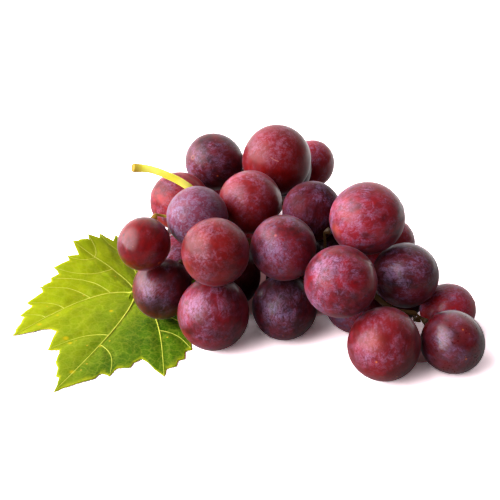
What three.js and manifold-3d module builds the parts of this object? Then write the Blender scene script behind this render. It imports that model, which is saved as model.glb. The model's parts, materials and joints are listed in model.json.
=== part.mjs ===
// A bunch of red table grapes lying on a table, with one vine leaf tucked under its stalk end.
// Millimetres, +Z up. X runs from the cut stalk to the tip of the bunch, and Y runs away from the front.
// The stalk, with all its branches and footstalks, is one piece, as it grew. Each berry is a piece of
// its own at the end of its footstalk. The leaf lies under the berries with its own short stalk.
import * as THREE from "three";
import { mergeVertices, toCreasedNormals } from "three/addons/utils/BufferGeometryUtils.js";
import Module from "manifold-3d";

const wasm = await Module();
wasm.setup();

const vec = (x, y, z) => new THREE.Vector3(x, y, z);

const weld = 1e-4; // corners nearer than this are one
const creaseAngle = Math.PI / 4; // faces that meet at less are shaded as one surface

// Berries
const berrySides = 14;
const berryRings = 8;
const berryLength = 1.03; // length over width
const dimple = { depth: 0.035, spread: 0.35 }; // hollow round the footstalk, in radii and radians
const berryGap = 0.35; // between neighbouring berries
const restDepth = 0.2; // how much of a lying berry is flattened by its own weight
const settleRounds = 400;

// The berries of the near side: the middle of each, its width, its skin, and for a few the way from
// the middle to its footstalk
const nearBerries = [
  { at: [-13.8, 57.5, 40.4], width: 23, skin: "plum", seat: [0.74, 0.53, -0.41] },
  { at: [9.9, 49.5, 44.8], width: 27.4, skin: "red" },
  { at: [26.1, 89.7, 23.7], width: 20.6, skin: "plum" },
  { at: [14, 72, 30.4], width: 23.8, skin: "plum" },
  { at: [-27, 36.5, 33.5], width: 22.8, skin: "red" },
  { at: [-19, 11, 40.5], width: 22.8, skin: "dusky" },
  { at: [-0.8, 25.5, 39], width: 24, skin: "red" },
  { at: [23, 15.2, 40.2], width: 22.4, skin: "plum" },
  { at: [-37.7, 2, 34.1], width: 19.4, skin: "red", seat: [0.36, 0.75, 0.55] },
  { at: [-32.5, 4.5, 14], width: 22.6, skin: "plum" },
  { at: [-12.2, -12.2, 38.4], width: 24.4, skin: "red" },
  { at: [12.5, -6, 36.2], width: 23.8, skin: "plum", seat: [0.27, 0.54, -0.8] },
  { at: [42.4, -0.6, 44.6], width: 26.2, skin: "dusky", seat: [-0.9, 0, -0.42] },
  { at: [-13.3, -11.5, 13], width: 26.6, skin: "dusky", seat: [0.2, 0.93, 0.3] },
  { at: [12.5, -5.5, 12], width: 24.2, skin: "plum", seat: [0.14, 0.9, 0.4] },
  { at: [31.3, -21.5, 32.5], width: 25.4, skin: "dusky" },
  { at: [56.5, -4.6, 25.2], width: 23.4, skin: "plum" },
  { at: [52.4, 17.2, 25.4], width: 20, skin: "plum" },
  { at: [71.3, -4.6, 10], width: 20, skin: "dusky" },
  { at: [47, -30.8, 13.2], width: 26, skin: "red" },
  { at: [71.1, -26.4, 11], width: 22.2, skin: "plum" },
  { at: [38.6, -1, 10.8], width: 21.6, skin: "dusky" },
  { at: [-22.5, 48, 11.6], width: 22, skin: "plum" },
  { at: [57.2, 6.6, 8], width: 16, skin: "plum" },
];

// The berries of the far side fill the room that is left round the stalk, behind the near ones
const farBerries = {
  seed: 10,
  rounds: 8,
  tries: 8000,
  limit: 26,
  widths: [20, 25],
  reach: 14, // how far from the stalk's surface a berry's skin may be
  squeeze: 3.5, // how far it may press into its neighbours before all are eased apart
  slack: 0.1, // how far short of its gap it may come to rest
  lowFirst: 0.25, // weight of its height where places are ranked
  hidden: 0.96, // share of its outline that the near berries cover from the front
  sightLines: 32,
  skins: ["red", "plum", "dusky"],
};
const eye = vec(0, -390, 258); // where the bunch is looked at from the front

// The main stalk from its cut end to the tip of the bunch, and the two side branches that grow from it
const stalkRoute = [
  [-43, 19, 56.7], [-37, 21.5, 54.9], [-30, 23, 51.3], [-23.5, 24.2, 46.6], [-16, 24.5, 38.8],
  [-12.5, 25, 31.5], [-8.5, 24.5, 26], [0, 23, 23], [12, 16.5, 22], [26, 10, 23.5], [36, 2, 24.8],
  [42, -9, 22.5], [51, -16.5, 18], [59, -17.5, 17],
].map((p) => vec(...p));
const sideRoutes = [
  [[-11.5, 25, 30], [-5, 36, 26.5], [4, 50, 24], [11, 62, 18.5], [21, 72, 17.5]],
  [[11, 17, 22], [18, 27, 20], [28, 38, 20], [38, 46, 19]],
].map((route) => route.map((p) => vec(...p)));
const bareStalk = 5; // points of the main stalk before its first footstalk
const stalk = {
  cut: 1.75, // radii, from the cut end to the tip
  grown: 1.45,
  tip: 0.9,
  side: 1.2, // of a side branch where it leaves the main stalk
  sides: 10,
  thinSides: 8, // of the side branches
  step: 3.5,
  spacing: 2, // between the places where a footstalk may leave it
};
const footstalk = {
  radius: 0.6,
  thinnest: 0.4,
  growth: 0.35, // a branch that bears n berries is n to this power as thick
  sides: 6,
  room: 0.4, // kept to every berry that it passes
  discRadius: 1.5, // its swollen end against the berry
  discLength: 2.2,
  discNeck: 0.85, // radius halfway along the swelling, as a share of its end
  discGap: 0.25,
  step: 4,
};
// How the footstalks find their ways between the berries, over a fine grid
const search = {
  cell: 1.5,
  margin: 18, // of the grid round the berries' middles
  bucket: 0.25, // distances are sorted into steps of this size
  table: 2.5, // kept clear over the table
  slack: 0.15,
  crowded: 3, // a way with less room than this counts as longer
  seats: 240, // places tried on each berry
  seatReach: 1, // from the swollen end to where the search starts
  seatCheck: 0.5, // how far out of the seat its room is measured
  seatWish: 60,
  seatInSight: 40,
  seatSightEdge: 0.2,
  seatTurnedAway: 14,
  smoothRounds: 60,
  pull: 0.5,
};

// Leaf. Its margin is tooth tips and notches by turns, as the turn in degrees from the midrib and the
// reach from the top of its stalk: the left side from the midrib's tip, then the right side.
const leafHeart = vec(-45, 22, 0);
const midribBearing = -109.3;
const leafThickness = 0.8;
const leafRest = 0.42; // height of the blade's middle where it lies flat
const leafLift = { turn: 115, spread: 38, height: 13, reach: 34, power: 1.5 }; // the raised lobe
const leafCover = 42; // how far from its heart the leaf may lie under a berry
const leafRings = [0.3, 0.6, 0.84, 1];
const leftMargin = [
  [0.5, 68], [2.5, 60], [4, 59.5], [6, 55], [9, 52.5], [13, 45.5], [17.5, 48], [24, 40.5], [27, 37.5],
  [33, 41], [34, 45], [36.5, 52.5], [46.5, 44.5], [49, 45.5], [55.5, 40], [58, 42], [66.5, 35.5],
  [70, 37.5], [75.5, 33], [78.5, 33.5], [83, 31], [86, 33.7], [95, 30], [98, 31.5],
  [104.5, 28], [109.5, 33.5], [121, 32], [123, 34], [130.5, 32], [132.5, 34.5], [140.5, 31.5],
  [144, 36], [152, 28], [157, 31], [163, 23], [169, 22],
];
const rightMargin = [
  [4.5, 61], [9.5, 57], [11, 54], [14.5, 55], [16.5, 50], [22, 49.5], [24, 46.5], [27, 44.5], [29.5, 47],
  [31.5, 51.5], [34.5, 57], [36.5, 52.5], [40.5, 52], [42.5, 49], [45.5, 49], [48, 45], [51.5, 45],
  [57, 38], [60, 40], [66, 35.5], [69, 38], [77, 32.5], [80, 35], [90, 31], [93, 36], [103, 32.5],
  [106, 37], [116, 33], [119, 36.5], [129, 32], [132, 36], [141, 31], [144, 34], [152, 27],
  [157, 29], [163, 20],
];
const leafStalkRoute = [
  [-46.5, 19, 1.2], [-43, 28, 1.3], [-36, 37, 1.3], [-27, 43, 1.3], [-17, 46, 1.3],
].map((p) => vec(...p));
const leafStalkRadius = 1.1;
const leafStalkSides = 8;
const leafStalkStep = 4;

const skinColours = { red: "#7d1f2b", plum: "#3d1020", dusky: "#6a3446" };
const stalkColour = "#b7b32c";
const leafColour = "#8db421";
const roughness = { berry: 0.35, stalk: 0.6, leaf: 0.5 };

// A repeatable draw of numbers from 0 to 1
function seededDraw(seed) {
  let state = seed;
  return () => {
    state = (state + 0x6d2b79f5) | 0;
    let t = Math.imul(state ^ (state >>> 15), 1 | state);
    t = (t + Math.imul(t ^ (t >>> 7), 61 | t)) ^ t;
    return ((t ^ (t >>> 14)) >>> 0) / 2 ** 32;
  };
}

// Unit vectors spread evenly over a sphere
function evenDirections(count) {
  const goldenTurn = Math.PI * (3 - Math.sqrt(5));
  return Array.from({ length: count }, (_, i) => {
    const height = 1 - (2 * i + 1) / count;
    return vec(0, 0, 1).setFromSphericalCoords(1, Math.acos(height), i * goldenTurn);
  });
}

function solidOf(geometry) {
  const bare = geometry.clone();
  bare.deleteAttribute("normal");
  bare.deleteAttribute("uv");
  const merged = mergeVertices(bare, weld);
  const made = new wasm.Manifold(new wasm.Mesh({
    numProp: 3,
    vertProperties: merged.attributes.position.array,
    triVerts: new Uint32Array(merged.index.array),
  }));
  if (made.volume() < 0) throw new Error("a solid is inside out");
  return made;
}

function geometryOf(solid) {
  const mesh = solid.getMesh();
  const geometry = new THREE.BufferGeometry();
  geometry.setAttribute("position", new THREE.BufferAttribute(mesh.vertProperties, 3));
  geometry.setIndex(new THREE.BufferAttribute(mesh.triVerts, 1));
  return toCreasedNormals(geometry, creaseAngle);
}

// Rings of points joined into one closed skin, with a flat cap at each end
function skinOf(rings) {
  const sides = rings[0].length;
  const faces = [];
  for (let ring = 0; ring < rings.length - 1; ring += 1) {
    for (let side = 0; side < sides; side += 1) {
      const a = ring * sides + side;
      const b = ring * sides + ((side + 1) % sides);
      faces.push(a, b, b + sides, a, b + sides, a + sides);
    }
  }
  const last = (rings.length - 1) * sides;
  for (let side = 1; side < sides - 1; side += 1) {
    faces.push(0, side + 1, side, last, last + side, last + side + 1);
  }
  const geometry = new THREE.BufferGeometry().setFromPoints(rings.flat());
  geometry.setIndex(faces);
  return geometry;
}

const upright = 0.8; // a stem that starts steeper than this is turned about the X axis instead of Z

// A round stem through points, with a radius at each of them
function stem(points, radii, sides, step) {
  const curve = new THREE.CatmullRomCurve3(points, false, "centripetal");
  const count = Math.max(points.length - 1, Math.round(curve.getLength() / step));
  const tangents = [];
  const rings = [];
  let normal = null;
  for (let i = 0; i <= count; i += 1) {
    const along = (i / count) * (points.length - 1);
    const before = Math.min(Math.floor(along), points.length - 2);
    const radius = THREE.MathUtils.lerp(radii[before], radii[before + 1], along - before);
    const centre = curve.getPoint(i / count);
    tangents.push(curve.getTangent(i / count));
    if (i === 0) {
      const aside = Math.abs(tangents[0].z) < upright ? vec(0, 0, 1) : vec(1, 0, 0);
      normal = aside.cross(tangents[0]).normalize();
    } else {
      normal.applyQuaternion(new THREE.Quaternion().setFromUnitVectors(tangents[i - 1], tangents[i]));
    }
    const ringPlane = normal.clone();
    rings.push(Array.from({ length: sides }, (_, side) => ringPlane.clone()
      .applyAxisAngle(tangents[i], (side / sides) * 2 * Math.PI)
      .multiplyScalar(radius)
      .add(centre)));
  }
  return solidOf(skinOf(rings));
}

// Height of the middle of the leaf's blade above the table
function leafHeight(x, y) {
  const reach = Math.hypot(x - leafHeart.x, y - leafHeart.y);
  const bearing = THREE.MathUtils.radToDeg(Math.atan2(y - leafHeart.y, x - leafHeart.x));
  const turn = THREE.MathUtils.euclideanModulo(midribBearing - bearing + 180, 360) - 180;
  const share = Math.exp(-(((turn - leafLift.turn) / leafLift.spread) ** 2));
  return leafRest + leafLift.height * share * (reach / leafLift.reach) ** leafLift.power;
}

// The blade is a fan round the top of the leaf's stalk, split alike on both faces
function leafBlade() {
  const margin = [...rightMargin.map(([turn, reach]) => [-turn, reach]).reverse(), ...leftMargin];
  const rim = margin.length;
  const middle = [vec(leafHeart.x, leafHeart.y, leafHeight(leafHeart.x, leafHeart.y))];
  for (const share of leafRings) {
    for (const [turn, reach] of margin) {
      const bearing = THREE.MathUtils.degToRad(midribBearing - turn);
      const x = leafHeart.x + share * reach * Math.cos(bearing);
      const y = leafHeart.y + share * reach * Math.sin(bearing);
      middle.push(vec(x, y, leafHeight(x, y)));
    }
  }
  const half = vec(0, 0, leafThickness / 2);
  const points = [...middle.map((p) => p.clone().add(half)), ...middle.map((p) => p.clone().sub(half))];
  const under = middle.length;
  const faces = [];
  const onBoth = (a, b, c) => faces.push(a, b, c, a + under, c + under, b + under);
  for (let i = 1; i < rim; i += 1) {
    onBoth(0, i + 1, i);
    for (let ring = 0; ring < leafRings.length - 1; ring += 1) {
      const a = ring * rim + i;
      onBoth(a, a + rim + 1, a + rim);
      onBoth(a, a + 1, a + rim + 1);
    }
  }
  const outer = 1 + (leafRings.length - 1) * rim;
  const border = [
    0,
    ...leafRings.map((_, ring) => 1 + ring * rim),
    ...Array.from({ length: rim - 1 }, (_, i) => outer + 1 + i),
    ...leafRings.slice(0, -1).map((_, ring) => (ring + 1) * rim).reverse(),
  ];
  border.forEach((a, i) => {
    const b = border[(i + 1) % border.length];
    faces.push(a, b + under, a + under, a, b, b + under);
  });
  const geometry = new THREE.BufferGeometry().setFromPoints(points);
  geometry.setIndex(faces);
  return solidOf(geometry);
}

const reachOf = (width) => (width / 2) * berryLength;

function stepsAlong(points, radius) {
  const curve = new THREE.CatmullRomCurve3(points, false, "centripetal");
  const count = Math.round(curve.getLength() / stalk.spacing);
  return curve.getSpacedPoints(count).map((at) => ({ at, radius }));
}

const stalkSteps = [
  ...stepsAlong(stalkRoute.slice(bareStalk), stalk.grown),
  ...sideRoutes.flatMap((route) => stepsAlong(route, stalk.side)),
];
const stemSteps = [
  ...stalkSteps,
  ...stepsAlong(stalkRoute.slice(0, bareStalk + 1), stalk.cut),
  ...stepsAlong(leafStalkRoute, leafStalkRadius),
];

// The lowest that a berry's middle may be: on the table, or on the leaf where the leaf is under it
function lowest(at, width) {
  const overLeaf = Math.hypot(at.x - leafHeart.x, at.y - leafHeart.y) < leafCover;
  if (!overLeaf) return width / 2 - restDepth;
  return reachOf(width) + leafHeight(at.x, at.y) + leafThickness / 2 + berryGap;
}

// The share of a berry's outline that the near berries cover from the front
function hiddenShare(at, reach, near) {
  const away = at.clone().sub(eye).normalize();
  const right = away.clone().cross(vec(0, 0, 1)).normalize();
  const up = right.clone().cross(away);
  const count = farBerries.sightLines;
  const turns = Array.from({ length: count }, (_, i) => (i / count) * 2 * Math.PI);
  const covered = turns.filter((turn) => {
    const edge = at.clone()
      .addScaledVector(right, reach * Math.cos(turn))
      .addScaledVector(up, reach * Math.sin(turn));
    const sight = new THREE.Ray(eye, edge.clone().sub(eye).normalize());
    return near.some((berry) => berry.at.distanceTo(eye) < edge.distanceTo(eye)
      && sight.distanceSqToPoint(berry.at) < berry.reach ** 2);
  });
  return covered.length / count;
}

function isFree(berry, berries) {
  return berries.every((other) => other === berry
    || berry.at.distanceTo(other.at) > berry.reach + other.reach + berryGap - farBerries.slack);
}

// Tries many places round the stalk, nearest first, and lets each berry press in a little. Those that
// come to rest clear of the others and out of sight are kept, and the room that is left is tried again.
function farSide(near) {
  let kept = [];
  for (let round = 0; round < farBerries.rounds; round += 1) {
    kept = tryPlaces(near, kept, seededDraw(farBerries.seed + round));
    settle([...near, ...kept]);
    kept = kept.filter((berry) => isFree(berry, [...near, ...kept])
      && hiddenShare(berry.at, berry.reach, near) >= farBerries.hidden);
  }
  return kept;
}

function tryPlaces(near, before, draw) {
  const [least, most] = farBerries.widths;
  const places = Array.from({ length: farBerries.tries }, () => {
    const from = stalkSteps[Math.floor(draw() * stalkSteps.length)];
    const width = least + (most - least) * draw();
    const reach = reachOf(width);
    const way = vec(0, 0, 1).setFromSphericalCoords(1, Math.acos(1 - 2 * draw()), 2 * Math.PI * draw());
    const out = from.radius + footstalk.discLength + reach + farBerries.reach * draw();
    const at = from.at.clone().addScaledVector(way, out);
    at.z = Math.max(at.z, lowest(at, width));
    const skin = farBerries.skins[Math.floor(draw() * farBerries.skins.length)];
    return { at, width, reach, give: 1, skin };
  });
  const nearness = (berry) => Math.min(...stalkSteps.map((s) => s.at.distanceTo(berry.at))) - berry.reach;
  const sorted = places
    .map((berry) => ({ ...berry, score: nearness(berry) + farBerries.lowFirst * berry.at.z }))
    .sort((a, b) => a.score - b.score);
  const kept = [...before];
  for (const berry of sorted) {
    const clear = [...near, ...kept].every((other) =>
      berry.at.distanceTo(other.at) > berry.reach + other.reach - farBerries.squeeze)
      && stemSteps.every((s) => berry.at.distanceTo(s.at) > berry.reach + s.radius + footstalk.room);
    if (!clear || hiddenShare(berry.at, berry.reach, near) < farBerries.hidden) continue;
    kept.push(berry);
    if (kept.length === farBerries.limit) break;
  }
  return kept;
}

// Eases berries apart until none is closer than its gap to a neighbour, a stem, the leaf or the table.
// One with no give stays where it is.
function settle(berries) {
  const push = vec(0, 0, 0);
  for (let round = 0; round < settleRounds; round += 1) {
    berries.forEach((berry, i) => {
      for (const other of berries.slice(i + 1)) {
        push.subVectors(berry.at, other.at);
        const short = berry.reach + other.reach + berryGap - push.length();
        if (short <= 0) continue;
        push.setLength(short / (berry.give + other.give || 1));
        berry.at.addScaledVector(push, berry.give);
        other.at.addScaledVector(push, -other.give);
      }
      for (const step of stemSteps) {
        push.subVectors(berry.at, step.at);
        const short = berry.reach + step.radius + footstalk.room - push.length();
        if (short > 0 && berry.give) berry.at.add(push.setLength(short));
      }
      berry.at.z = Math.max(berry.at.z, lowest(berry.at, berry.width));
    });
  }
}

// Free ways between the berries. Each cell of a fine grid that is clear of them learns how far it is
// from the nearest branch of the stalk, and which neighbour leads there.
function waysToStalk(berries) {
  const { cell, bucket } = search;
  const box = new THREE.Box3().setFromPoints(berries.map((b) => b.at)).expandByScalar(search.margin);
  const size = box.getSize(vec(0, 0, 0)).divideScalar(cell).ceil();
  const index = (p) => {
    const [i, j, k] = p.clone().sub(box.min).divideScalar(cell).round().toArray();
    return i + size.x * (j + size.y * k);
  };
  const place = (n) => vec(
    n % size.x,
    Math.floor(n / size.x) % size.y,
    Math.floor(n / (size.x * size.y)),
  ).multiplyScalar(cell).add(box.min);
  const steps = [];
  for (const i of [-1, 0, 1]) {
    for (const j of [-1, 0, 1]) {
      for (const k of [-1, 0, 1]) {
        const length = cell * Math.hypot(i, j, k);
        if (length) steps.push({ by: i + size.x * (j + size.y * k), length });
      }
    }
  }
  const count = size.x * size.y * size.z;
  const clearance = new Float32Array(count);
  for (let n = 0; n < count; n += 1) {
    const at = place(n);
    const low = at.z - search.table;
    clearance[n] = Math.min(low, ...berries.map((b) => b.at.distanceTo(at) - b.reach));
  }
  const distance = new Float32Array(count).fill(Infinity);
  const leadsTo = new Int32Array(count).fill(-1);
  const waiting = [stalkSteps.map((s) => index(s.at))];
  waiting[0].forEach((n) => { distance[n] = 0; });
  const least = footstalk.radius + search.slack;
  for (let turn = 0; turn < waiting.length; turn += 1) {
    for (const n of waiting[turn] ?? []) {
      if (Math.round(distance[n] / bucket) !== turn) continue;
      for (const { by, length } of steps) {
        const next = n + by;
        if (!(clearance[next] > least)) continue;
        const crowding = Math.max(0, search.crowded - clearance[next]);
        const far = distance[n] + length * (1 + crowding);
        if (far >= distance[next]) continue;
        distance[next] = far;
        leadsTo[next] = n;
        const when = Math.round(far / bucket);
        waiting[when] = waiting[when] ?? [];
        waiting[when].push(next);
      }
    }
  }
  return { index, place, distance, leadsTo };
}

const nearestStep = (at) => stalkSteps.reduce((a, b) =>
  (b.at.distanceTo(at) < a.at.distanceTo(at) ? b : a));

// Where each berry's footstalk meets it: a side that faces the stalk, out of sight, with a short way to it
function chooseSeat(berry, berries, ways) {
  const toEye = eye.clone().sub(berry.at).normalize();
  const toStalk = nearestStep(berry.at).at.clone().sub(berry.at).normalize();
  const rim = berry.reach + footstalk.discGap;
  const out = rim + footstalk.discLength + search.seatReach;
  let best = null;
  for (const way of evenDirections(search.seats)) {
    const wanted = berry.wantedSeat ? search.seatWish * way.distanceTo(berry.wantedSeat) : 0;
    const disc = berry.at.clone().addScaledVector(way, rim + search.seatCheck);
    const start = berry.at.clone().addScaledVector(way, out);
    const free = berries.every((other) => other === berry
      || other.at.distanceTo(disc) > other.reach + footstalk.discRadius + footstalk.room / 2);
    const inSight = search.seatInSight * Math.max(0, way.dot(toEye) + search.seatSightEdge);
    const turnedAway = search.seatTurnedAway * (1 - way.dot(toStalk));
    const score = ways.distance[ways.index(start)] + inSight + turnedAway + wanted;
    if (!free || !(score < (best?.score ?? Infinity))) continue;
    best = { way, start, score };
  }
  if (!best) throw new Error("a berry has no way to the stalk");
  return best;
}

// The tree of footstalks, as nodes with a place, a parent and children
function growFootstalks(berries) {
  const ways = waysToStalk(berries);
  const known = new Map();
  const nodeAt = (n) => {
    if (known.has(n)) return known.get(n);
    const parent = ways.leadsTo[n] < 0 ? null : nodeAt(ways.leadsTo[n]);
    const at = parent ? ways.place(n) : nearestStep(ways.place(n)).at.clone();
    const node = { at, parent, children: [], load: 0 };
    if (parent) parent.children.push(node);
    known.set(n, node);
    return node;
  };
  for (const berry of berries) {
    const { way, start } = chooseSeat(berry, berries, ways);
    berry.seat = way;
    let node = nodeAt(ways.index(start));
    const end = berry.reach + footstalk.discGap;
    for (const along of [footstalk.discLength, footstalk.discLength / 2, 0]) {
      const next = {
        at: berry.at.clone().addScaledVector(way, end + along),
        parent: node,
        children: [],
        load: 0,
        fixed: true,
        disc: 1 - along / footstalk.discLength,
      };
      node.children.push(next);
      node = next;
    }
    for (let up = node; up; up = up.parent) up.load += 1;
  }
  const nodes = [...known.values()];
  smooth(nodes, berries);
  return nodes.filter((node) => !node.parent);
}

// Draws the footstalks taut, and holds them off the berries
function smooth(nodes, berries) {
  for (let round = 0; round < search.smoothRounds; round += 1) {
    for (const node of nodes) {
      if (!node.parent) continue;
      const heavy = node.children.reduce((a, b) => (b.load > a.load ? b : a));
      const middle = node.parent.at.clone().add(heavy.at).multiplyScalar(0.5);
      node.at.lerp(middle, search.pull);
      for (const berry of berries) {
        const push = node.at.clone().sub(berry.at);
        const short = berry.reach + footstalk.room + footstalk.radius - push.length();
        if (short > 0) node.at.add(push.setLength(short));
      }
    }
  }
}

// One tube for each stretch between forks
function footstalkSolids(roots, berries) {
  const radiusAt = (node) => {
    if (node.disc === 1) return footstalk.discRadius;
    if (node.disc) return footstalk.discRadius * footstalk.discNeck;
    const wanted = Math.min(stalk.side, footstalk.radius * node.load ** footstalk.growth);
    const clear = Math.min(...berries.map((b) => b.at.distanceTo(node.at) - b.reach));
    return Math.max(footstalk.thinnest, Math.min(wanted, clear - footstalk.room / 2));
  };
  const solids = [];
  const grow = (from, first) => {
    const run = [from];
    let node = first;
    while (node.children.length === 1) {
      run.push(node);
      [node] = node.children;
    }
    run.push(node);
    const spaced = run.filter((n, i) => i % 2 === 0 || n.fixed || n === node || run[i + 1].fixed);
    const radii = spaced.map(radiusAt);
    radii[0] = Math.min(radii[0], radii[1]);
    solids.push(stem(spaced.map((n) => n.at), radii, footstalk.sides, footstalk.step));
    node.children.forEach((child) => grow(node, child));
  };
  roots.forEach((root) => root.children.forEach((child) => grow(root, child)));
  return solids;
}

function stalkPiece(berries) {
  const last = stalkRoute.length - 1;
  const radii = stalkRoute.map((_, i) => {
    if (i === 0) return stalk.cut;
    if (i <= bareStalk) return stalk.grown;
    return THREE.MathUtils.lerp(stalk.grown, stalk.tip, (i - bareStalk) / (last - bareStalk));
  });
  const main = stem(stalkRoute, radii, stalk.sides, stalk.step);
  const sides = sideRoutes.map((route) => {
    const sideRadii = route.map((_, i) =>
      THREE.MathUtils.lerp(stalk.side, stalk.tip, i / (route.length - 1)));
    return stem(route, sideRadii, stalk.thinSides, stalk.step);
  });
  const footstalks = footstalkSolids(growFootstalks(berries), berries);
  const whole = [...sides, ...footstalks].reduce((joined, one) => joined.add(one), main);
  // A pocket that the joined stalks close off is filled
  return whole.decompose().find((skin) => skin.volume() > 0);
}

// A berry of radius 1 across, with its footstalk end at +Y and its tip at -Y
function berryShape() {
  const profile = Array.from({ length: berryRings + 1 }, (_, i) => {
    const fromTip = (i / berryRings) * Math.PI;
    const hollow = dimple.depth * Math.exp(-(((Math.PI - fromTip) / dimple.spread) ** 2));
    const across = i % berryRings ? Math.sin(fromTip) : 0;
    return new THREE.Vector2(across, -Math.cos(fromTip) * berryLength - hollow);
  });
  return new THREE.LatheGeometry(profile, berrySides);
}

// A berry in its place. One that lies on the table is pressed flat where it touches.
function berryPiece({ at, width, seat }, shape) {
  const turn = new THREE.Quaternion().setFromUnitVectors(vec(0, 1, 0), seat);
  const size = vec(1, 1, 1).multiplyScalar(width / 2);
  const geometry = shape.clone().applyMatrix4(new THREE.Matrix4().compose(at, turn, size));
  geometry.computeBoundingBox();
  const low = geometry.boundingBox.min.z;
  const lies = at.z < width / 2 + restDepth && low < 2 * restDepth;
  if (!lies) return solidOf(geometry);
  geometry.translate(0, 0, -low - restDepth);
  const table = new THREE.BoxGeometry(width, width, width).translate(at.x, at.y, -width / 2);
  return solidOf(geometry).subtract(solidOf(table));
}

function meshOf(name, solid, colour, matt) {
  const material = new THREE.MeshStandardMaterial({ color: colour, roughness: matt, metalness: 0 });
  const mesh = new THREE.Mesh(geometryOf(solid), material);
  mesh.name = name;
  return mesh;
}

function buildBunch() {
  const near = nearBerries.map(({ at, width, skin, seat }) => ({
    at: vec(...at),
    width,
    skin,
    reach: reachOf(width),
    give: 1,
    wantedSeat: seat && vec(...seat).normalize(),
  }));
  settle(near);
  near.forEach((berry) => { berry.give = 0; });
  const berries = [...near, ...farSide(near)];

  const bunch = new THREE.Group();
  bunch.add(meshOf("stem", stalkPiece(berries), stalkColour, roughness.stalk));
  const leafStalkRadii = leafStalkRoute.map(() => leafStalkRadius);
  const leafStalk = stem(leafStalkRoute, leafStalkRadii, leafStalkSides, leafStalkStep);
  bunch.add(meshOf("leaf", leafBlade().add(leafStalk), leafColour, roughness.leaf));
  const shape = berryShape();
  berries.forEach((berry, i) => {
    const name = `berry_${String(i + 1).padStart(2, "0")}`;
    bunch.add(meshOf(name, berryPiece(berry, shape), skinColours[berry.skin], roughness.berry));
  });

  // The origin is under the middle of the whole, on the table
  const box = new THREE.Box3().setFromObject(bunch);
  const middle = box.getCenter(vec(0, 0, 0));
  bunch.position.set(-middle.x, -middle.y, -box.min.z);
  return bunch;
}

export default buildBunch();
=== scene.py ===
import json
import math
import random

import bmesh
import bpy
from mathutils import Matrix, Vector, noise
from mathutils.bvhtree import BVHTree


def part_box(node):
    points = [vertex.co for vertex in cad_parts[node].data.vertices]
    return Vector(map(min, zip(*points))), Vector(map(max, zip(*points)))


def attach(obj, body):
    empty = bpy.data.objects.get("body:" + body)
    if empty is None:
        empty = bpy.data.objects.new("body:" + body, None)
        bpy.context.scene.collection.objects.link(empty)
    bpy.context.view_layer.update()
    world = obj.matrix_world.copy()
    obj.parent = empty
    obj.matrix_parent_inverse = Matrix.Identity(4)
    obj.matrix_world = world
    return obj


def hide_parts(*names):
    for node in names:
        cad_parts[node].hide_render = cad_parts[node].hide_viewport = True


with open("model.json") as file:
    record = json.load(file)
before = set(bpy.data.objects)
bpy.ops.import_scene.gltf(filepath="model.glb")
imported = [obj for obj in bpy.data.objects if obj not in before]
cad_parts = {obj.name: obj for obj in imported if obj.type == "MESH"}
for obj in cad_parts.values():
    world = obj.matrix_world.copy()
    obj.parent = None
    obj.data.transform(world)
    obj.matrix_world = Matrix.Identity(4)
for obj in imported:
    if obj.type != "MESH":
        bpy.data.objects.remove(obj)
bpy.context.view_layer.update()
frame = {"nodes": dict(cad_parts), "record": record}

mm = 0.001
perMetre = 1000  # millimetres

# Helpers

def deselectAll():
    if bpy.context.object and bpy.context.object.mode != "OBJECT":
        bpy.ops.object.mode_set(mode="OBJECT")
    bpy.ops.object.select_all(action="DESELECT")


def makeActive(piece):
    deselectAll()
    piece.select_set(True)
    bpy.context.view_layer.objects.active = piece


def applyAll(piece):
    makeActive(piece)
    for modifier in list(piece.modifiers):
        bpy.ops.object.modifier_apply(modifier=modifier.name)


def newPiece(name, data):
    piece = bpy.data.objects.new(name, data)
    bpy.context.scene.collection.objects.link(piece)
    return piece


def mergedCopy(node):
    mesh = frame["nodes"][node].data.copy()
    form = bmesh.new()
    form.from_mesh(mesh)
    bmesh.ops.remove_doubles(form, verts=form.verts, dist=1e-6)
    form.to_mesh(mesh)
    form.free()
    return mesh


def smoothShade(piece):
    makeActive(piece)
    bpy.ops.object.shade_smooth()


def searchTree(mesh):
    return BVHTree.FromPolygons([v.co for v in mesh.vertices], [tuple(p.vertices) for p in mesh.polygons])


def middleOf(node):
    low, high = (Vector(c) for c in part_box(node))
    return (low + high) / 2


# Shader helpers

def newMaterial(name):
    material = bpy.data.materials.new(name)
    material.use_nodes = True
    tree = material.node_tree
    shader = tree.nodes["Principled BSDF"]
    return material, tree, shader


def setInputs(tree, node, inputs):
    for key, value in inputs.items():
        if isinstance(value, bpy.types.NodeSocket):
            tree.links.new(value, node.inputs[key])
        else:
            node.inputs[key].default_value = value


def addNode(tree, kind, inputs=None, **settings):
    node = tree.nodes.new(kind)
    for key, value in settings.items():
        setattr(node, key, value)
    setInputs(tree, node, inputs or {})
    return node


def addMath(tree, operation, first, second=0.0, third=0.0, clamp=False):
    inputs = {0: first, 1: second, 2: third}
    return addNode(tree, "ShaderNodeMath", inputs, operation=operation, use_clamp=clamp).outputs[0]


def addClamp(tree, value):
    return addMath(tree, "MULTIPLY", value, 1.0, clamp=True)


def addVector(tree, operation, *given):
    node = addNode(tree, "ShaderNodeVectorMath", dict(enumerate(given)), operation=operation)
    isNumber = operation in ("DISTANCE", "DOT_PRODUCT", "LENGTH")
    return node.outputs["Value" if isNumber else "Vector"]


def addMix(tree, factor, first, second, blend="MIX"):
    inputs = {0: factor, 6: first, 7: second}
    return addNode(tree, "ShaderNodeMix", inputs, data_type="RGBA", blend_type=blend).outputs[2]


# A noise's pattern is its scale per millimetre, detail, roughness and distortion
def addNoise(tree, vector, scale, detail=3.0, rough=0.55, distortion=0.0):
    inputs = {
        "Vector": vector, "Scale": scale, "Detail": detail, "Roughness": rough, "Distortion": distortion,
    }
    return addNode(tree, "ShaderNodeTexNoise", inputs).outputs["Fac"]


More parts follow.
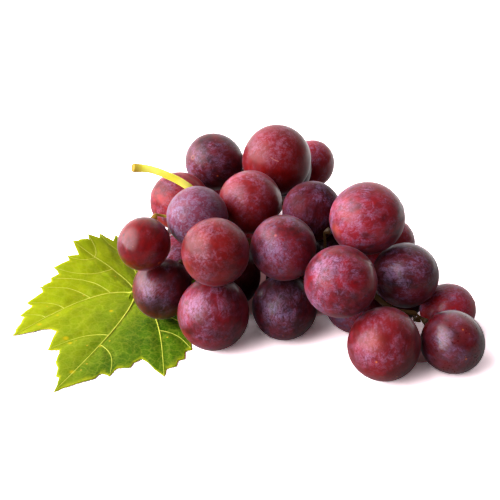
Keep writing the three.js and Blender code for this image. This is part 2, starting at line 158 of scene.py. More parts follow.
def addRange(tree, value, low, high, toLow=0.0, toHigh=1.0):
    inputs = {"Value": value, "From Min": low, "From Max": high, "To Min": toLow, "To Max": toHigh}
    return addNode(tree, "ShaderNodeMapRange", inputs, interpolation_type="SMOOTHSTEP").outputs[0]


def addBump(tree, shader, height, strength, distance):
    bump = addNode(tree, "ShaderNodeBump", {"Height": height, "Strength": strength, "Distance": distance})
    tree.links.new(bump.outputs["Normal"], shader.inputs["Normal"])


def objectCoords(tree):
    return addNode(tree, "ShaderNodeTexCoord").outputs["Object"]


def placeInMm(tree):
    return addVector(tree, "MULTIPLY", objectCoords(tree), (perMetre, perMetre, perMetre))


def colour(red, green, blue):
    return (red, green, blue, 1.0)


# A screen value from 0 to 255 as light. The screen's own curve is straight for the darkest values.
def toLight(value):
    share = value / 255
    return share / 12.92 if value <= 10 else ((share + 0.055) / 1.055) ** 2.4


def fromScreen(red, green, blue):
    return colour(toLight(red), toLight(green), toLight(blue))


def newGroup(name, inputs, outputs):
    group = bpy.data.node_groups.new(name, "ShaderNodeTree")
    for socket, kind, value in inputs:
        made = group.interface.new_socket(socket, in_out="INPUT", socket_type=kind)
        if value is not None:
            made.default_value = value
    for socket, kind in outputs:
        group.interface.new_socket(socket, in_out="OUTPUT", socket_type=kind)
    return group, group.nodes.new("NodeGroupInput"), group.nodes.new("NodeGroupOutput")


mottleForm = {
    "broad": (4.0, 0.62, 0.5),  # its scale follows from the size of the patches
    "streaks": (0.55, 3.0, 0.6),
    "grain": (1.3, 3.0, 0.65),
    "streakShare": 0.35,
    "range": (0.38, 0.62),
}


# Skin mottling: broad patches that run lengthwise, and fine grain. Place is in millimetres.
def makeMottleGroup():
    group, given, result = newGroup(
        "skinMottle",
        [
            ("Place", "NodeSocketVector", None),
            ("Drawn", "NodeSocketVector", None),
            ("Patch Size", "NodeSocketFloat", 9.0),
        ],
        [("Patches", "NodeSocketFloat"), ("Grain", "NodeSocketFloat")],
    )
    share = mottleForm["streakShare"]
    scale = addMath(group, "DIVIDE", 1.0, given.outputs["Patch Size"])
    broad = addNoise(group, given.outputs["Drawn"], scale, *mottleForm["broad"])
    streaks = addNoise(group, given.outputs["Drawn"], *mottleForm["streaks"])
    grain = addNoise(group, given.outputs["Place"], *mottleForm["grain"])
    both = addMath(group, "MULTIPLY_ADD", streaks, share, addMath(group, "MULTIPLY", broad, 1 - share))
    group.links.new(addRange(group, both, *mottleForm["range"]), result.inputs["Patches"])
    group.links.new(grain, result.inputs["Grain"])
    return group


bloomForm = {
    "clouds": (0.11, 3.0, 0.6, 0.6),
    "bareEdge": 0.75,  # value of the clouds at which the film ends where its cover is none
    "edgePerCover": -0.5,
    "edgeWidth": 0.2,
    "mottles": (0.5, 5.0, 0.75, 0.9),
    "mottleRange": (0.43, 0.57, 0.1, 1.0),
    "dots": (1.7, 4.0, 0.75),
    "dotRange": (0.43, 0.57),
    "streaks": (0.8, 6.0, 0.78, 1.2),
    "streakRange": (0.44, 0.57),
}


# Waxy bloom: a thin pale film that lies in clouds, mottled, speckled and rubbed off in streaks.
# Its last input is where the film was wiped on thickly, and where pale patches paint highlights and
# reflections of the light.
def makeBloomGroup():
    group, given, result = newGroup(
        "waxBloom",
        [
            ("Place", "NodeSocketVector", None),
            ("Drawn", "NodeSocketVector", None),
            ("Cover", "NodeSocketFloat", 0.5),
            ("Speckle", "NodeSocketFloat", 0.5),
            ("Smear", "NodeSocketFloat", 0.0),
        ],
        [("Film", "NodeSocketFloat")],
    )
    place = given.outputs["Place"]
    drawn = given.outputs["Drawn"]
    clouds = addNoise(group, place, *bloomForm["clouds"])
    perCover, bareEdge = bloomForm["edgePerCover"], bloomForm["bareEdge"]
    edge = addMath(group, "MULTIPLY_ADD", given.outputs["Cover"], perCover, bareEdge)
    lowEdge = addMath(group, "SUBTRACT", edge, bloomForm["edgeWidth"])
    highEdge = addMath(group, "ADD", edge, bloomForm["edgeWidth"])
    film = addRange(group, clouds, lowEdge, highEdge)
    mottles = addRange(group, addNoise(group, drawn, *bloomForm["mottles"]), *bloomForm["mottleRange"])
    dots = addRange(group, addNoise(group, place, *bloomForm["dots"]), *bloomForm["dotRange"])
    thin = addMath(group, "SUBTRACT", 1.0, given.outputs["Speckle"])
    speckled = addMath(group, "MULTIPLY_ADD", dots, given.outputs["Speckle"], thin)
    even = addMath(group, "MULTIPLY", addMath(group, "MULTIPLY", film, mottles), speckled)
    streaks = addRange(group, addNoise(group, drawn, *bloomForm["streaks"]), *bloomForm["streakRange"])
    smearedAndLit = addMath(group, "MULTIPLY_ADD", streaks, given.outputs["Smear"], even)
    group.links.new(addClamp(group, smearedAndLit), result.inputs["Film"])
    return group


# Small corky dots with soft edges. Size is their radius as a share of their spacing.
def makeSpeckGroup():
    group, given, result = newGroup(
        "corkSpecks",
        [
            ("Place", "NodeSocketVector", None),
            ("Spacing", "NodeSocketFloat", 5.0),
            ("Size", "NodeSocketFloat", 0.06),
        ],
        [("Specks", "NodeSocketFloat")],
    )
    scale = addMath(group, "DIVIDE", 1.0, given.outputs["Spacing"])
    cells = addNode(group, "ShaderNodeTexVoronoi", {"Vector": given.outputs["Place"], "Scale": scale})
    inner = addMath(group, "MULTIPLY", given.outputs["Size"], 0.5)
    dots = addNode(group, "ShaderNodeMapRange", {
        "Value": cells.outputs["Distance"], "From Min": given.outputs["Size"], "From Max": inner,
    }).outputs[0]
    group.links.new(addClamp(group, dots), result.inputs["Specks"])
    return group


print("shader groups")
skinMottle = makeMottleGroup()
waxBloom = makeBloomGroup()
corkSpecks = makeSpeckGroup()


# Berries. Bright is the lit skin, deep its darker patches and film its bloom, all as screen values.

skins = {
    "red": {"bright": (138, 18, 18), "deep": (92, 9, 12), "film": (172, 116, 152), "cover": 0.45},
    "plum": {"bright": (94, 12, 19), "deep": (48, 6, 10), "film": (146, 110, 150), "cover": 0.46},
    "dusky": {"bright": (120, 17, 27), "deep": (76, 11, 18), "film": (162, 114, 154), "cover": 0.5},
}
commonLook = {
    "rough": 0.32,
    "gloss": 0.27,
    "coat": 0.22,
    "glow": 0.75,
    "filmStrength": 0.68,
    "scar": 0.06,
    "dusted": (-0.7, -0.35, 0.62),  # where the film is strongest, towards the softbox: painted light on the bloom
    "smears": [],  # bloom wiped on, with painted highlights and reflections: direction from the berry's middle, reach in millimetres, amount
    "marks": [],  # direction, radius in millimetres, softness of its edge, colour, strength
}
amber = (196, 104, 52)
# A row of dots so close that they run together as a scratch
scratch = [
    ((0.026 * k - 0.18, -0.86, 0.49 - 0.022 * k + 0.0009 * k * k), 0.26, 0.5, (190, 112, 96), 0.6)
    for k in range(9)
]
# Berries that the front view sees only through gaps, painted dark for the shade they lie in
shadedHidden = {"cover": 0.02, "bright": (64, 8, 12), "deep": (36, 5, 8), "gloss": 0.15, "coat": 0.05}
# What some berries have of their own
ownLooks = {
    "berry_01": {
        "scar": 1.0, "scarAt": (-0.68, -0.59, 0.44),
        "marks": [((0.13, -0.99, -0.05), 0.45, 0.4, amber, 0.7)],
    },
    "berry_02": {
        "cover": 0.45, "bright": (120, 13, 13), "deep": (98, 9, 10), "gloss": 0.2,
        "film": (174, 128, 162), "filmStrength": 0.4,
        "marks": scratch,
    },
    "berry_03": {"cover": 0.42, "bright": (150, 20, 25), "deep": (122, 14, 19)},
    "berry_05": {
        "cover": 0.4, "bright": (150, 24, 26), "deep": (84, 9, 12), "gloss": 0.2, "filmStrength": 0.6,
        "smears": [((-0.24, -0.68, 0.69), 7, 0.3)],
    },
    "berry_06": {
        "cover": 0.9, "bright": (116, 46, 66), "deep": (90, 36, 54), "gloss": 0.14,
        "film": (138, 124, 158), "filmStrength": 0.6,
        "smears": [((-0.6, -0.43, 0.68), 9, 0.3)],
    },
    "berry_07": {
        "cover": 0.4, "bright": (130, 18, 18), "deep": (106, 12, 14), "filmStrength": 0.66,
        "smears": [((-0.56, -0.62, 0.55), 7, 0.35)],
    },
    # painted shade: this berry lies behind others, and its skin is painted darker for the shade it lies in
    "berry_08": {
        "cover": 0.45, "bright": (78, 12, 18), "gloss": 0.05, "coat": 0.03,
        "film": (136, 104, 146), "filmStrength": 0.5,
    },
    "berry_09": {
        "cover": 0.25, "bright": (120, 11, 14), "deep": (86, 7, 10), "rough": 0.28, "gloss": 0.2,
        "coat": 0.55, "filmStrength": 0.35,
        "marks": [
            ((-0.7, -0.38, 0.61), 0.9, 0.6, (44, 6, 8), 0.8),
            # the amber spot at the lower right is a painted glint
            ((0.59, -0.7, -0.4), 0.9, 0.8, amber, 0.5),
        ],
    },
    "berry_10": {"cover": 0.3, "gloss": 0.4, "coat": 0.3, "smears": [((-0.41, -0.82, 0.4), 8, 0.7)]},
    "berry_11": {
        "cover": 0.5, "bright": (126, 17, 15), "deep": (92, 10, 10), "gloss": 0.22,
        "film": (168, 112, 140), "filmStrength": 0.52,
        # its lower pale patch paints a reflection of the light, and the broad warm mark a highlight towards
        # the softbox
        "smears": [((-0.34, -0.87, -0.36), 7, 0.7), ((-0.63, -0.22, 0.75), 6, 0.5)],
        "marks": [((-0.4, -0.54, 0.74), 5, 1.0, (176, 84, 66), 0.14)],
    },
    "berry_12": {
        "cover": 0.5, "bright": (116, 14, 24), "deep": (62, 8, 14),
        "smears": [((-0.34, -0.84, 0.41), 8, 0.9)],
        "marks": [((-0.25, -0.6, 0.76), 0.7, 0.6, (206, 96, 84), 0.6)],
    },
    "berry_13": {
        "cover": 0.5, "bright": (132, 18, 26),
        "smears": [((-0.77, -0.35, 0.53), 9, 0.6)],
        "marks": [
            ((-0.85, -0.52, -0.07), 4, 1.0, (180, 80, 40), 0.4),
            ((-0.12, -0.99, 0.02), 1.7, 0.6, (70, 6, 10), 0.7),
        ],
    },
    "berry_14": {
        "cover": 0.38,
        "smears": [((-0.59, -0.55, 0.59), 9, 0.8), ((0.48, -0.86, -0.2), 7, 0.4)],
        "marks": [((-0.64, -0.76, -0.1), 3.2, 1.0, (40, 7, 12), 0.7)],
    },
    "berry_15": {
        "smears": [((-0.36, -0.85, 0.37), 8, 0.9)],
        "marks": [((-0.05, -0.9, -0.42), 0.7, 0.7, amber, 0.7), ((0.23, -0.91, -0.35), 0.4, 0.5, amber, 0.6)],
    },
    "berry_16": {
        "cover": 0.48, "bright": (132, 17, 27),
        "smears": [((-0.73, -0.63, -0.26), 8, 0.9), ((-0.43, -0.61, 0.66), 8, 0.6)],
    },
    "berry_17": {"cover": 0.6, "coat": 0.32, "smears": [((-0.53, -0.67, 0.51), 6, 0.9)]},
    "berry_18": {"cover": 0.6, "bright": (146, 22, 30), "deep": (116, 14, 22)},
    "berry_19": {
        "cover": 0.62, "bright": (150, 20, 28), "deep": (110, 13, 20),
        "marks": [((-0.88, -0.46, -0.06), 5, 1.0, (190, 40, 20), 0.6)],
    },
    "berry_20": {
        "cover": 0.4, "bright": (120, 14, 20), "deep": (88, 9, 12), "filmStrength": 0.6,
        "smears": [((-0.52, -0.82, 0.24), 7, 0.5)],
        "marks": [
            # the broad warm mark is a painted highlight towards the softbox; the amber dots are specks
            ((-0.39, -0.74, 0.55), 5.5, 1.0, (190, 80, 40), 0.22),
            ((-0.3, -0.95, 0.09), 0.5, 0.4, amber, 0.8),
            ((0.27, -0.86, -0.43), 0.5, 0.4, amber, 0.8),
        ],
    },
    "berry_21": {
        "cover": 0.28, "bright": (100, 13, 20), "deep": (60, 7, 11), "rough": 0.24, "gloss": 0.5, "coat": 0.4,
        "smears": [((-0.51, -0.66, 0.55), 6, 0.9)],
        "marks": [((0.18, -0.52, 0.83), 0.45, 0.4, amber, 0.7), ((0.28, -0.96, 0.03), 0.45, 0.4, amber, 0.7)],
    },
    "berry_22": {"cover": 0.9, "film": (92, 82, 112), "smears": [((-0.22, -0.86, -0.47), 9, 0.5)]},
    **{name: shadedHidden for name in ("berry_23", "berry_24", "berry_26", "berry_29", "berry_33")},
}
berryForm = {
    "segments": 96,
    "rings": 48,
    "length": 1.03,
    "dimple": 0.05,  # depth of the hollow at the stalk end, in radii
    "dimpleReach": 0.34,
    "scar": 0.016,
    "scarReach": 0.1,
    "poleHeight": 0.9999,
    "lumps": 0.5 * mm,
    "lumpSize": 0.013,
    "lumpMiddle": 0.6,
    "poleFaces": 12,  # fewest faces that meet at a CAD berry's pole
    "lyingUnder": 0.02 * mm,  # a CAD berry whose lowest point is under this lies on the table
    "seed": 11,
    "coverSpread": 0.08,
}
# Lengths on the skin are in millimetres
berryPaint = {
    "patchSize": 11,
    "patternShift": 2.7,  # so that no two berries have the same pattern
    "drawnOut": 0.48,
    "speckle": 0.6,
    "grain": 0.35,
    "turnedAway": -0.4,  # from here towards the softbox the film grows to its full strength: painted light
    "fullyDusted": 0.7,
    "leastFilm": 0.22,
    "specks": {"Spacing": 7, "Size": 0.045},
    "speckStrength": 0.7,
    "speck": (150, 80, 50),
    "ring": (1.4, 0.4),  # radius and softness
    "ringColour": (132, 74, 70),
    "middle": (0.9, 0.4),
    "middleColour": (30, 8, 8),
    "filmRough": 0.5,
    "grainRough": 0.08,
    "bump": 0.12,
    "bumpDepth": 0.1 * mm,
    "surface": {
        "Subsurface Radius": (1.0, 0.12, 0.08),
        "Subsurface Scale": 5.5 * mm,
        "IOR": 1.42,
        "Specular Tint": colour(1.0, 0.82, 0.96),
        "Coat Roughness": 0.09,
        "Coat IOR": 1.35,
        "Sheen Weight": 0.07,
        "Sheen Roughness": 0.3,
        "Sheen Tint": colour(0.9, 0.78, 1.0),
    },
}


def makeBerryMaster():
    deselectAll()
    bpy.ops.mesh.primitive_uv_sphere_add(
        segments=berryForm["segments"], ring_count=berryForm["rings"], radius=1, location=(0, 0, 0))
    berry = bpy.context.object
    berry.name = "berryMaster"
    bpy.ops.object.mode_set(mode="EDIT")
    bpy.ops.mesh.select_mode(type="VERT")
    # the hollow at the stalk end, then the small raised scar at the other
    for height, push, reach in (
        (1, -berryForm["dimple"], berryForm["dimpleReach"]),
        (-1, -berryForm["scar"], berryForm["scarReach"]),
    ):
        bpy.ops.mesh.select_all(action="DESELECT")
        form = bmesh.from_edit_mesh(berry.data)
        for vertex in form.verts:
            vertex.select = vertex.co.z * height > berryForm["poleHeight"]
        form.select_flush(True)
        bmesh.update_edit_mesh(berry.data)
        bpy.ops.transform.translate(
            value=(0, 0, push), use_proportional_edit=True,
            proportional_edit_falloff="SMOOTH", proportional_size=reach)
    bpy.ops.mesh.select_all(action="SELECT")
    bpy.ops.transform.resize(value=(1, 1, berryForm["length"]))
    bpy.ops.object.mode_set(mode="OBJECT")
    bpy.ops.object.shade_smooth()
    return berry


# The poles of a CAD berry are the corners where the most faces meet. The one nearer the stalk is its top.
def readBerry(node, stalkTree):
    low, high = (Vector(c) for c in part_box(node))
    mesh = mergedCopy(node)
    form = bmesh.new()
    form.from_mesh(mesh)
    poles = [v.co.copy() for v in form.verts if len(v.link_faces) >= berryForm["poleFaces"]]
    form.free()
    bpy.data.meshes.remove(mesh)
    centre = (low + high) / 2
    size = high - low
    radius = (size.x + size.y) / 4
    if low.z < berryForm["lyingUnder"]:
        centre.z = high.z - radius
    poles.sort(key=lambda p: stalkTree.find_nearest(p)[3])
    return {"centre": centre, "radius": radius, "axis": (poles[0] - centre).normalized()}


# The place in millimetres where a way from the berry's middle meets its skin
def onSkin(berry, way):
    return (berry["centre"] + Vector(way).normalized() * berry["radius"]) * perMetre


# 1 within a distance of a spot, given in millimetres, and 0 outside it
def spotMask(tree, place, spot, reach, softness):
    return addRange(tree, addVector(tree, "DISTANCE", place, spot), reach, reach * (1 - softness))


# The strength of the film: what the bloom gives, strongest on the side towards the softbox: painted light
def addFilm(tree, look, berry, inMm, place, drawn):
    bloom = addNode(tree, "ShaderNodeGroup", {
        "Place": place, "Drawn": drawn, "Cover": look["cover"], "Speckle": berryPaint["speckle"],
    }, node_tree=waxBloom)
    smearAndHighlight = None
    for way, reach, amount in look["smears"]:
        smearSpot = addMath(tree, "MULTIPLY", spotMask(tree, inMm, onSkin(berry, way), reach, 1.0), amount)
        smearAndHighlight = smearSpot if smearAndHighlight is None else addMath(tree, "ADD", smearAndHighlight, smearSpot)
    if smearAndHighlight is not None:
        tree.links.new(smearAndHighlight, bloom.inputs["Smear"])
    outward = addVector(tree, "ADD", inMm, berry["centre"] * -perMetre)
    toLitSide = Vector(look["dusted"]).normalized() / (berry["radius"] * perMetre)
    side = addVector(tree, "DOT_PRODUCT", outward, toLitSide)
    strength = look["filmStrength"]
    filmTowardLight = addRange(
        tree, side, berryPaint["turnedAway"], berryPaint["fullyDusted"],
        strength * berryPaint["leastFilm"], strength)
    return addMath(tree, "MULTIPLY", bloom.outputs["Film"], filmTowardLight)


def berryMaterial(name, look, berry):
    material, tree, shader = newMaterial(name)
    inMm = placeInMm(tree)
    place = addVector(tree, "ADD", inMm, berry["centre"] * perMetre * berryPaint["patternShift"])
    # the same place drawn out along the berry, for marks that run from end to end
    along = addVector(tree, "DOT_PRODUCT", place, berry["axis"])
    alongAll = addNode(tree, "ShaderNodeCombineXYZ", {0: along, 1: along, 2: along}).outputs[0]
    drawn = addVector(tree, "MULTIPLY_ADD", berry["axis"] * -berryPaint["drawnOut"], alongAll, place)
    mottle = addNode(tree, "ShaderNodeGroup", {
        "Place": place, "Drawn": drawn, "Patch Size": berryPaint["patchSize"],
    }, node_tree=skinMottle)
    film = addFilm(tree, look, berry, inMm, place, drawn)
    specks = addNode(tree, "ShaderNodeGroup", {"Place": place, **berryPaint["specks"]}, node_tree=corkSpecks)

    skin = addMix(tree, mottle.outputs["Patches"], fromScreen(*look["deep"]), fromScreen(*look["bright"]))
    grainy = addMix(tree, berryPaint["grain"], skin, mottle.outputs["Grain"], "OVERLAY")
    # the pale bloom film, real, but painted strongest on the lit side: painted light
    dusted = addMix(tree, film, grainy, fromScreen(*look["film"]))
    specked = addMath(tree, "MULTIPLY", specks.outputs["Specks"], berryPaint["speckStrength"])
    marked = addMix(tree, specked, dusted, fromScreen(*berryPaint["speck"]))
    for way, reach, softness, paint, strength in look["marks"]:
        spot = spotMask(tree, inMm, onSkin(berry, way), reach, softness)
        marked = addMix(tree, addMath(tree, "MULTIPLY", spot, strength), marked, fromScreen(*paint))

    # the scar at the tip: a pale ring with a dark middle
    tip = onSkin(berry, look.get("scarAt", berry["axis"] * -1))
    for part in ("ring", "middle"):
        spot = addMath(tree, "MULTIPLY", spotMask(tree, inMm, tip, *berryPaint[part]), look["scar"])
        marked = addMix(tree, spot, marked, fromScreen(*berryPaint[part + "Colour"]))
    tree.links.new(marked, shader.inputs["Base Color"])

    rough = addMath(tree, "MULTIPLY_ADD", film, berryPaint["filmRough"], look["rough"])
    grained = addMath(tree, "MULTIPLY_ADD", mottle.outputs["Grain"], berryPaint["grainRough"], rough)
    tree.links.new(grained, shader.inputs["Roughness"])
    addBump(tree, shader, mottle.outputs["Grain"], berryPaint["bump"], berryPaint["bumpDepth"])
    setInputs(tree, shader, {
        **berryPaint["surface"],
        "Subsurface Weight": look["glow"],
        "Specular IOR Level": look["gloss"],
        "Coat Weight": look["coat"],
    })
    return material


def makeBerries():
    stalkTree = searchTree(mergedCopy("stem"))
    master = makeBerryMaster()
    lumps = bpy.data.textures.new("berryLumps", "CLOUDS")
    lumps.noise_scale = berryForm["lumpSize"]
    lumps.noise_depth = 0
    slots = {s["node"]: s["material_slot"] for s in frame["record"]["subparts"]}
    draw = random.Random(berryForm["seed"])
    nodes = sorted(n for n in frame["nodes"] if n.startswith("berry_"))
    for node in nodes:
        berry = readBerry(node, stalkTree)
        skin = slots[node].replace("_skin", "")
        look = {**commonLook, **skins[skin]}
        look["cover"] += draw.uniform(-berryForm["coverSpread"], berryForm["coverSpread"])
        look.update(ownLooks.get(node, {}))
        piece = newPiece(node + "_skin", master.data.copy())
        turn = Vector((0, 0, 1)).rotation_difference(berry["axis"]).to_matrix().to_4x4()
        spin = Matrix.Rotation(draw.uniform(0, 2 * math.pi), 4, "Z")
        piece.data.transform(
            Matrix.Translation(berry["centre"]) @ turn @ spin @ Matrix.Scale(berry["radius"], 4))
        shape = piece.modifiers.new("lumps", "DISPLACE")
        shape.texture = lumps
        shape.texture_coords = "LOCAL"
        shape.strength = berryForm["lumps"]
        shape.mid_level = berryForm["lumpMiddle"]
        applyAll(piece)
        for vertex in piece.data.vertices:
            vertex.co.z = max(vertex.co.z, 0.0)
        piece.data.materials.clear()
        piece.data.materials.append(berryMaterial(node + "_skin", look, berry))
        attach(piece, "root")
        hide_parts(node)
    bpy.data.objects.remove(master)
    print("berries", len(nodes))


makeBerries()


# Stalk: the CAD stalk, remeshed so that its forks flow into each other

# Lengths on its skin are in millimetres
stalkLook = {
    "voxel": 0.3 * mm,
    "smoothing": 5,
    "smoothFactor": 0.5,
    "young": (255, 246, 110),
    "green": (236, 226, 70),
    "brown": (176, 96, 24),
    # painted shade for the stalk deep in the bunch
    "inner": (46, 28, 10),
    "cut": (142, 94, 22),
    "dry": (104, 50, 14),
    "patches": (0.18, 3.0),
    "patchRange": (0.35, 0.65),
    "flecks": (1.1, 3.0, 0.7),
    "fleckRange": (0.6, 0.72),
    "fleckStrength": 0.5,
    "cutRange": (5.5, 2.0),  # from the cut end
    "cutStrength": 0.92,
    "innerRange": (18, 30),  # from the cut end, where the painted shade deep in the bunch starts and where it is full
    "dryNode": "berry_09",  # the footstalk of this berry has dried brown
    "dryRange": (18, 13),  # from the middle of that berry
    "dryStrength": 0.9,
    "bumps": (1.4, 3.0),
    "bump": 0.3,
    "bumpDepth": 0.2 * mm,
    "surface": {
        "Emission Strength": 0.42,  # painted glow: the stalk gives off light in its own colour, in place of light that comes through it
        "Roughness": 0.45,
        "Specular IOR Level": 0.15,
        "Subsurface Weight": 0.2,
        "Subsurface Radius": (0.8, 0.9, 0.2),
        "Subsurface Scale": 0.8 * mm,
    },
}


def stalkMaterial(cutEnd):
    material, tree, shader = newMaterial("stalk")
    inMm = placeInMm(tree)
    names = ("young", "green", "brown", "inner", "cut", "dry")
    paint = {name: fromScreen(*stalkLook[name]) for name in names}
    patches = addRange(tree, addNoise(tree, inMm, *stalkLook["patches"]), *stalkLook["patchRange"])
    base = addMix(tree, patches, paint["green"], paint["young"])
    flecks = addRange(tree, addNoise(tree, inMm, *stalkLook["flecks"]), *stalkLook["fleckRange"])
    fleck = addMath(tree, "MULTIPLY", flecks, stalkLook["fleckStrength"])
    flecked = addMix(tree, fleck, base, paint["brown"])
    fromCut = addVector(tree, "DISTANCE", inMm, cutEnd * perMetre)
    cut = addMath(tree, "MULTIPLY", addRange(tree, fromCut, *stalkLook["cutRange"]), stalkLook["cutStrength"])
    browned = addMix(tree, cut, flecked, paint["cut"])
    # painted shade: deep in the bunch, where shade falls, the stalk is painted dull dark brown
    shadedDeep = addMix(tree, addRange(tree, fromCut, *stalkLook["innerRange"]), browned, paint["inner"])
    fromDry = addVector(tree, "DISTANCE", inMm, middleOf(stalkLook["dryNode"]) * perMetre)
    dry = addMath(tree, "MULTIPLY", addRange(tree, fromDry, *stalkLook["dryRange"]), stalkLook["dryStrength"])
    aged = addMix(tree, dry, shadedDeep, paint["dry"])
    tree.links.new(aged, shader.inputs["Base Color"])
    # painted glow: the stalk's colour is also given off as light
    tree.links.new(aged, shader.inputs["Emission Color"])
    bumps = addNoise(tree, inMm, *stalkLook["bumps"])
    addBump(tree, shader, bumps, stalkLook["bump"], stalkLook["bumpDepth"])
    setInputs(tree, shader, stalkLook["surface"])
    return material


def makeStalk():
    piece = newPiece("stalk", mergedCopy("stem"))
    remesh = piece.modifiers.new("remesh", "REMESH")
    remesh.mode = "VOXEL"
    remesh.voxel_size = stalkLook["voxel"]
    smooth = piece.modifiers.new("smooth", "SMOOTH")
    smooth.factor = stalkLook["smoothFactor"]
    smooth.iterations = stalkLook["smoothing"]
    applyAll(piece)
    smoothShade(piece)
    cutEnd = min((v.co for v in piece.data.vertices), key=lambda p: p.x).copy()
    piece.data.materials.clear()
    piece.data.materials.append(stalkMaterial(cutEnd))
    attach(piece, "root")
    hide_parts("stem")
    print("stalk", len(piece.data.polygons))


makeStalk()


# Leaf: a thin blade on the CAD leaf's own outline and height, puckered between its veins

leafLook = {
    "cadThickness": 0.8 * mm,
    "cadSlack": 0.02 * mm,  # by which a pair of CAD corners may miss that thickness
    "thickness": 0.26 * mm,
    "rimThickness": 0.25,  # of the thickness
    "rimThinning": 12,  # the greater, the nearer the rim it thins
    "nicks": 1.6 * mm,
    "nickScale": 420,
    "perSide": 6,  # steps from one corner of the margin to the next
    "rings": 46,
    "pucker": 0.7 * mm,
    "puckerReach": 2.4 * mm,
    "thinReach": 0.6,  # how far a vein of no width holds the blade down, of what a main vein does
    "rimPucker": (0.65, 6),  # share of the pucker that is lost at the rim, and how near the rim
    "puckerRise": (0.9, -0.45),  # between the veins, and at them
    "crinkles": ((130, 0.5), (320, 0.22)),  # scale and amount
    "underCad": 0.4 * mm,  # how far the blade lies under the CAD blade's upper face, and more at its rim
    "underCadRim": 0.25 * mm,
    "inset": 0.99,  # its height is read a little inwards, so that its rim still finds the CAD blade
    "lowest": 0.6,  # height of the blade's middle over the table, of the thickness
    "midribBearing": -109.3,
    # the turn of each main vein from the midrib, to the right if positive, and how far it bows out
    "mains": ((0, 0.045), (-36.5, -0.13), (34.5, 0.08), (-107, -0.12), (106, 0.12), (-144, -0.1), (144, 0.1)),
    "mainWidth": 0.42 * mm,
    "sideWidth": 0.22 * mm,
    "tipWidth": 0.1 * mm,
    "shortWidth": 0.7,  # of a very short main vein, as a share of the midrib's
    "midribLength": 68 * mm,
    "mainEnd": 0.985,  # of the way to the margin
    "sideEnd": 0.975,
    "mainLean": 0.65,  # under 1, a vein bows most near its start
    "sideLean": 0.8,
    "sideBow": 0.13,
    "sideAngle": 42,
    "sideShares": (0.06, 0.92),  # of a main vein, where side veins may leave it
    "leftFoot": (0.94, 1.37, 0.05),  # of the left lobe's vein: the outermost foot, its fall, the innermost
    "veinStep": 1.2 * mm,
    "fewestSteps": 6,
    "sink": 0.12 * mm,
    "stalkRoute": ((1, 1, 1.0), (3, 7, 1.3), (9, 15, 1.3), (18, 21, 1.3), (28, 24, 1.3)),
    "stalkRadius": 1.1 * mm,
}
# Places and lengths are in millimetres from the heart
leafPaint = {
    "light": (160, 168, 3),
    "fresh": (104, 136, 2),
    "deep": (50, 84, 1),
    "vein": (198, 198, 70),
    "edge": (196, 196, 30),
    "spot": (210, 170, 12),
    "speck": (214, 160, 44),
    "shadeMiddle": 0.075,
    "shadeAcross": -0.018,  # lighter to the left and away from the stalk, deeper to the right
    "shadeAway": 0.007,
    "drift": (0.09, 4.0),
    "driftAmount": 0.45,
    "patches": (0.16, 4.0, 0.6),
    "patchRange": (0.35, 0.7),
    "patchAmount": 0.22,
    "warp": {"Scale": 0.3, "Detail": 2.0},
    "warpReach": 2.2,
    # the net between the veins: scale, range of the line's edge and strength, coarse and fine
    "nets": ((0.27, 0.11, 0.02, 0.08), (0.75, 0.16, 0.03, 0.07)),
    "specks": {"Spacing": 6, "Size": 0.07},
    "speckStrength": 0.7,
    # yellowed spots: place and radius
    "spots": (
        (-34, -22, 1.4), (-28, -16, 1.0), (-27, -27, 1.3), (-23, -31, 1.6), (-21, -34, 1.2),
        (-25, -41, 1.2), (-8, -13, 1.2), (-30, -25, 1.0), (-10, -36, 1.0), (-18, -52, 1.6),
    ),
    "spotStrength": 0.6,
    "ragged": (0.3, 3.0),
    "raggedAmount": 0.09,
    "edgeRange": (0.99, 1.05),
    "edgeStrength": 0.45,
    "bumpFine": -0.3,
    "bump": 0.07,
    "bumpDepth": 0.25 * mm,
    "surface": {
        "Roughness": 0.6,
        "Specular IOR Level": 0.06,
        "Subsurface Weight": 0.25,
        "Subsurface Radius": (0.6, 1.0, 0.15),
        "Subsurface Scale": 0.8 * mm,
    },
    "veinPatches": (0.25, 3.0),
    "veinRange": (0.35, 0.65),
    "veinGreen": (176, 182, 50),
    "veinSurface": {"Roughness": 0.5, "Specular IOR Level": 0.25},
}


# The CAD blade's corners lie in pairs, one above the other. Its heart is where most faces meet.
def readLeaf():
    mesh = mergedCopy("leaf")
    form = bmesh.new()
    form.from_mesh(mesh)
    byPlace = {}
    for vertex in form.verts:
        byPlace.setdefault((round(vertex.co.x, 5), round(vertex.co.y, 5)), []).append(vertex)
    heart = max(form.verts, key=lambda v: len(v.link_faces)).co.copy()
    corners = {}
    for pair in byPlace.values():
        heights = [v.co.z for v in pair]
        thickness = max(heights) - min(heights)
        if len(pair) != 2 or abs(thickness - leafLook["cadThickness"]) > leafLook["cadSlack"]:
            continue
        away = pair[0].co - heart
        bearing = round(math.degrees(math.atan2(away.y, away.x)), 1)
        reach = math.hypot(away.x, away.y)
        if reach > corners.get(bearing, 0):
            corners[bearing] = reach
    form.free()
    margin = [towards(b) * corners[b] for b in sorted(corners)]
    return heart, margin, searchTree(mesh)


def towards(bearing):
    turn = math.radians(bearing)
    return Vector((math.cos(turn), math.sin(turn), 0))


def heightOn(tree, place):
    hit = tree.ray_cast(Vector((place.x, place.y, 1)), Vector((0, 0, -1)))[0]
    return 0.0 if hit is None else hit.z


# The place at a share of a vein's way. It bows out to one side, and most near its start.
def onVein(start, end, bow, lean, share):
    way = end - start
    aside = Vector((-way.y, way.x, 0)) * bow
    return start + way * share + aside * math.sin(math.pi * share ** lean)


def footOn(main, share):
    return onVein(Vector(), main["end"], main["bow"], leafLook["mainLean"], share)


